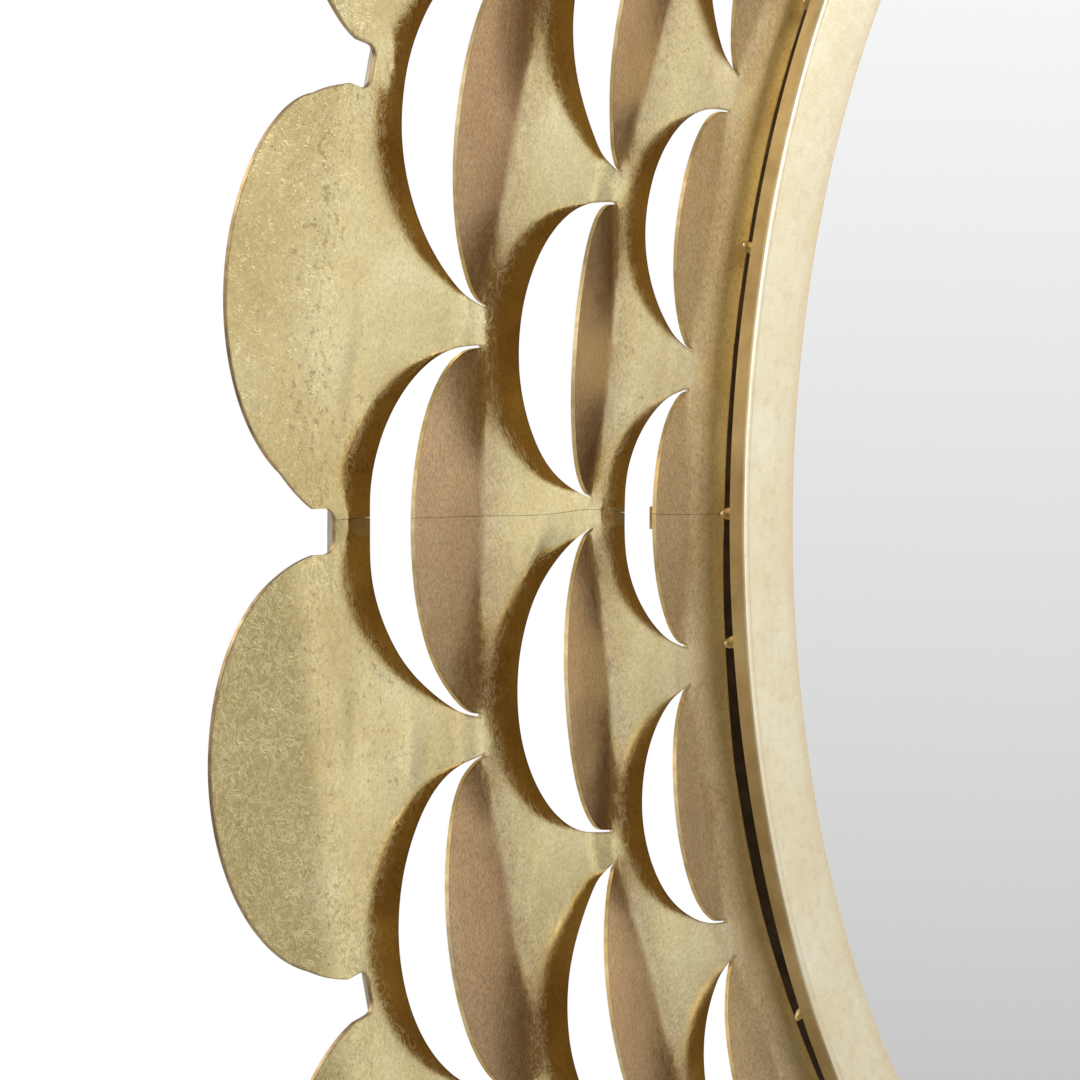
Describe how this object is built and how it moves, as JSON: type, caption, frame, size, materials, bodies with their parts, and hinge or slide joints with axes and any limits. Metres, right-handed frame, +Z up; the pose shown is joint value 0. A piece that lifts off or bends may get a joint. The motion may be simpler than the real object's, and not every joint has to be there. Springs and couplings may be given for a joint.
{
  "type": "round wall mirror",
  "caption": "Round wall mirror in a wide gold-leafed sheet-metal frame with overlapping rows of folded rounded scales, on a hoop and rim, hung by D-rings.",
  "frame": {"origin": "centre of the mirror on the wall plane", "axes": "+Z up, +Y into the wall, the glass faces -Y, +X to the right as seen from the front"},
  "size_m": [0.908, 0.0285, 0.908],
  "materials": {
    "gold_leaf": "gold leaf over thin iron sheet, satin, finely wrinkled and rubbed at the edges",
    "rim_gold": "pale gold leaf, satin, with a rounded corner",
    "hoop_iron": "grey-beige painted rod, satin",
    "mirror": "silvered float glass",
    "tape": "black foam tape",
    "board": "bare fibreboard",
    "zinc_steel": "bright zinc plate",
    "bumper_rubber": "soft black rubber"
  },
  "bodies": {
    "mirror": {"scale_panel_upper_right": "gold_leaf", "scale_panel_upper_left": "gold_leaf", "scale_panel_lower_left": "gold_leaf", "scale_panel_lower_right": "gold_leaf", "seam_straps_right": "gold_leaf", "seam_straps_top": "gold_leaf", "seam_straps_left": "gold_leaf", "seam_straps_bottom": "gold_leaf", "rim_tack_welds": "gold_leaf", "rim": "rim_gold", "edge_hoop": "hoop_iron", "hoop_welds": "hoop_iron", "glazing_tape": "tape", "mirror_glass": "mirror", "backing_board": "board", "board_clip_1": "zinc_steel", "board_clip_2": "zinc_steel", "board_clip_3": "zinc_steel", "board_clip_4": "zinc_steel", "board_clip_5": "zinc_steel", "board_clip_6": "zinc_steel", "board_clip_7": "zinc_steel", "board_clip_8": "zinc_steel", "clip_screws": "zinc_steel", "hanger_strap_left": "zinc_steel", "hanger_strap_right": "zinc_steel", "hanger_screws": "zinc_steel", "wall_bumpers": "bumper_rubber"},
    "d_ring_left": {"d_ring_left": "zinc_steel"},
    "d_ring_right": {"d_ring_right": "zinc_steel"}
  },
  "joints": [
    {"name": "d_ring_left_swing", "type": "hinge", "parent": "mirror", "child": "d_ring_left", "pos_m": [-0.15, -0.00715, 0.14], "axis": [1, 0, 0], "range_deg": [0, 180]},
    {"name": "d_ring_right_swing", "type": "hinge", "parent": "mirror", "child": "d_ring_right", "pos_m": [0.15, -0.00715, 0.14], "axis": [1, 0, 0], "range_deg": [0, 180]}
  ]
}
